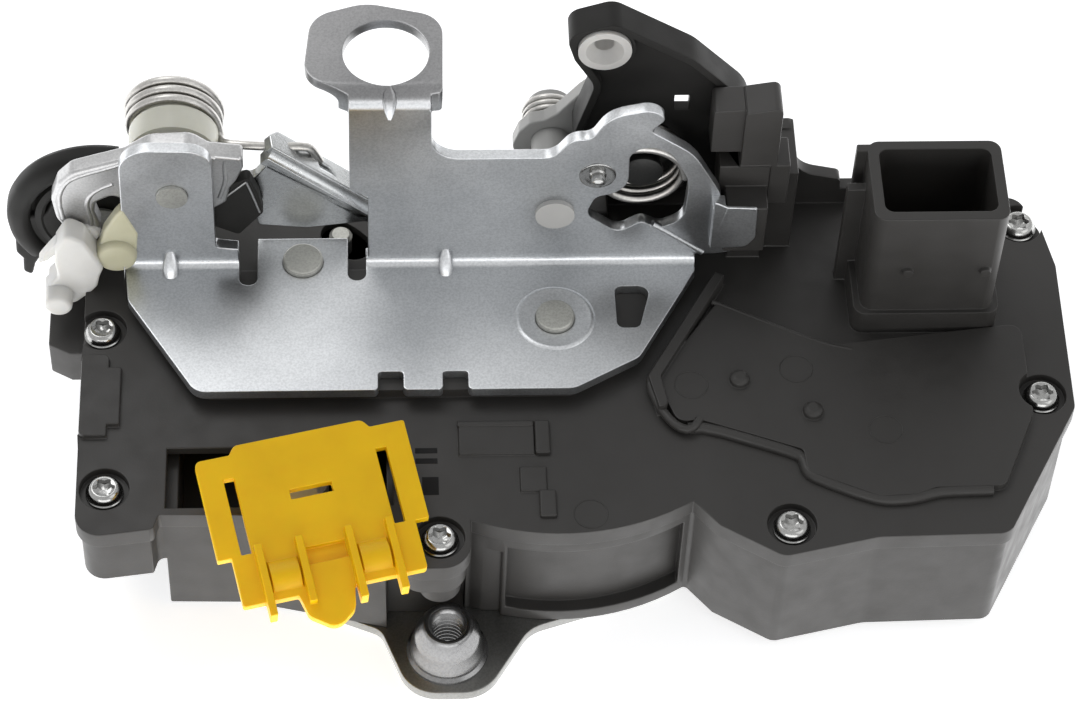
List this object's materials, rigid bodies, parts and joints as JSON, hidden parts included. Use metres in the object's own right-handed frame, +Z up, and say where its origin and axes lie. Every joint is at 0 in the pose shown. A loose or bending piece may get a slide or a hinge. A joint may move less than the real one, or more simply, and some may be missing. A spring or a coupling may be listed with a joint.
{
  "type": "door latch actuator",
  "caption": "Side door latch with a built-in motor lock: folded steel bracket, release levers, wiring socket and a transport clip on a flat plastic housing.",
  "frame": {"origin": "where the fork bolt's pivot axis meets the mounting face of the face plate", "axes": "+X along the bracket's bend line towards the wiring socket, +Y towards the upright web, +Z up from the mounting face"},
  "size_m": [0.1725, 0.0929, 0.0787],
  "materials": {
    "face_steel": "zinc plated pressed steel",
    "bright_steel": "bright zinc plated",
    "housing_plastic": "charcoal glass-filled moulding",
    "seal_rubber": "soft black bead",
    "rivet_steel": "plain grey rivet steel",
    "bracket_steel": "bright zinc plated sheet",
    "latch_steel": "fine-blanked hardened steel",
    "cushion_plastic": "overmoulded damping plastic",
    "spring_steel": "drawn spring wire",
    "stop_rubber": "rubber stop",
    "motor_can": "drawn plated can",
    "white_plastic": "natural acetal",
    "worm_brass": "turned brass",
    "dark_plastic": "dark moulding",
    "terminal_brass": "tinned brass",
    "zinc_lever": "die-cast zinc, matt",
    "greased_steel": "zinc plated, greased",
    "ivory_plastic": "ivory acetal",
    "lever_plastic": "black glass-filled nylon",
    "bush_translucent": "translucent natural nylon",
    "link_grey": "grey link arm",
    "clip_yellow": "saturated yellow moulding"
  },
  "bodies": {
    "housing": {"face_plate": "face_steel", "mounting_nuts": "bright_steel", "latch_case": "housing_plastic", "cover_seal": "seal_rubber", "actuator_cover": "housing_plastic", "cover_screws": "bright_steel", "fork_pivot": "rivet_steel", "pawl_pivot": "rivet_steel", "back_bracket": "bracket_steel", "spring_anchor_pin": "rivet_steel", "release_pivot": "rivet_steel", "link_pivot": "rivet_steel", "outside_pin": "rivet_steel", "fork_spring": "spring_steel", "fork_stop": "stop_rubber", "pawl_spring": "spring_steel", "lock_motor": "motor_can", "motor_end_cap": "white_plastic", "gear_axle": "rivet_steel", "contact_carrier": "dark_plastic", "connector_terminals": "terminal_brass", "micro_switches": "dark_plastic", "lever_bush": "ivory_plastic", "outside_spring": "spring_steel", "link_spring": "spring_steel", "key_lever_pin": "rivet_steel"},
    "fork": {"fork_bolt": "latch_steel", "fork_cushion": "cushion_plastic"},
    "pawl": {"pawl": "latch_steel", "pawl_lift_pin": "rivet_steel"},
    "worm": {"lock_worm": "worm_brass"},
    "gear": {"lock_gear": "white_plastic"},
    "slider": {"lock_slider": "dark_plastic"},
    "lock_lever": {"lock_lever": "white_plastic"},
    "inside_lever": {"inside_lever": "zinc_lever"},
    "release_lever": {"release_lever": "greased_steel", "release_spring": "spring_steel"},
    "rod_clip": {"rod_clip": "white_plastic", "clip_bush": "ivory_plastic"},
    "key_lever": {"key_lever": "lever_plastic"},
    "outside_lever": {"outside_lever": "lever_plastic", "rod_bush": "bush_translucent"},
    "link_lever": {"link_lever": "link_grey"},
    "transport_clip": {"transport_clip": "clip_yellow"}
  },
  "joints": [
    {"name": "fork_turn", "type": "hinge", "parent": "housing", "child": "fork", "pos_m": [0, 0, 0.005], "axis": [0, 0, 1], "range_deg": [0, 48]},
    {"name": "pawl_turn", "type": "hinge", "parent": "housing", "child": "pawl", "pos_m": [-0.0406, 0.012, 0.005], "axis": [0, 0, -1], "range_deg": [0, 14.6]},
    {"name": "inside_lever_turn", "type": "hinge", "parent": "housing", "child": "inside_lever", "pos_m": [-0.061, 0.0158, 0.0494], "axis": [0, 1, 0], "range_deg": [0, 10]},
    {"name": "release_lever_turn", "type": "hinge", "parent": "housing", "child": "release_lever", "pos_m": [-0.061, 0.0188, 0.0494], "axis": [0, 1, 0], "range_deg": [0, 10.4]},
    {"name": "rod_clip_turn", "type": "hinge", "parent": "inside_lever", "child": "rod_clip", "pos_m": [-0.0752, 0.0158, 0.0376], "axis": [0, 1, 0], "range_deg": [-10.4, 0]},
    {"name": "key_lever_turn", "type": "hinge", "parent": "housing", "child": "key_lever", "pos_m": [-0.0735, 0.022, 0.033], "axis": [0, -1, 0], "range_deg": [0, 12]},
    {"name": "outside_lever_turn", "type": "hinge", "parent": "housing", "child": "outside_lever", "pos_m": [0.014, 0.0236, 0.0495], "axis": [0, -1, 0], "range_deg": [0, 22]},
    {"name": "link_lever_turn", "type": "hinge", "parent": "housing", "child": "link_lever", "pos_m": [0, 0.0282, 0.0445], "axis": [0, -1, 0], "range_deg": [0, 16]},
    {"name": "lock_gear_turn", "type": "hinge", "parent": "housing", "child": "gear", "pos_m": [0.04384, 0.003, 0.013], "axis": [0, 0, -1], "range_deg": [0, 62]},
    {"name": "worm_turn", "type": "hinge", "parent": "housing", "child": "worm", "pos_m": [0.0595, 0.003, 0.0133], "axis": [0, 1, 0], "range_deg": [0, 1480]},
    {"name": "slider_shift", "type": "slide", "parent": "housing", "child": "slider", "axis": [-1, 0, 0], "range_m": [0, 0.00524]},
    {"name": "lock_lever_turn", "type": "hinge", "parent": "housing", "child": "lock_lever", "pos_m": [-0.0409, -0.0218, 0.016], "axis": [0, 0, 1], "range_deg": [0, 21.6]},
    {"name": "clip_lift", "type": "slide", "parent": "housing", "child": "transport_clip", "axis": [0.0561, -0.2353, 0.9703], "range_m": [0, 0.012]}
  ],
  "couplings": [
    {"joint": "pawl_turn", "follows": "inside_lever_turn", "ratio": 1.4},
    {"joint": "release_lever_turn", "follows": "inside_lever_turn", "ratio": 1},
    {"joint": "rod_clip_turn", "follows": "inside_lever_turn", "ratio": -1},
    {"joint": "link_lever_turn", "follows": "outside_lever_turn", "ratio": 0.7},
    {"joint": "lock_gear_turn", "follows": "slider_shift", "rad_per_m": 200},
    {"joint": "worm_turn", "follows": "slider_shift", "rad_per_m": 4800},
    {"joint": "lock_lever_turn", "follows": "slider_shift", "rad_per_m": 70}
  ]
}
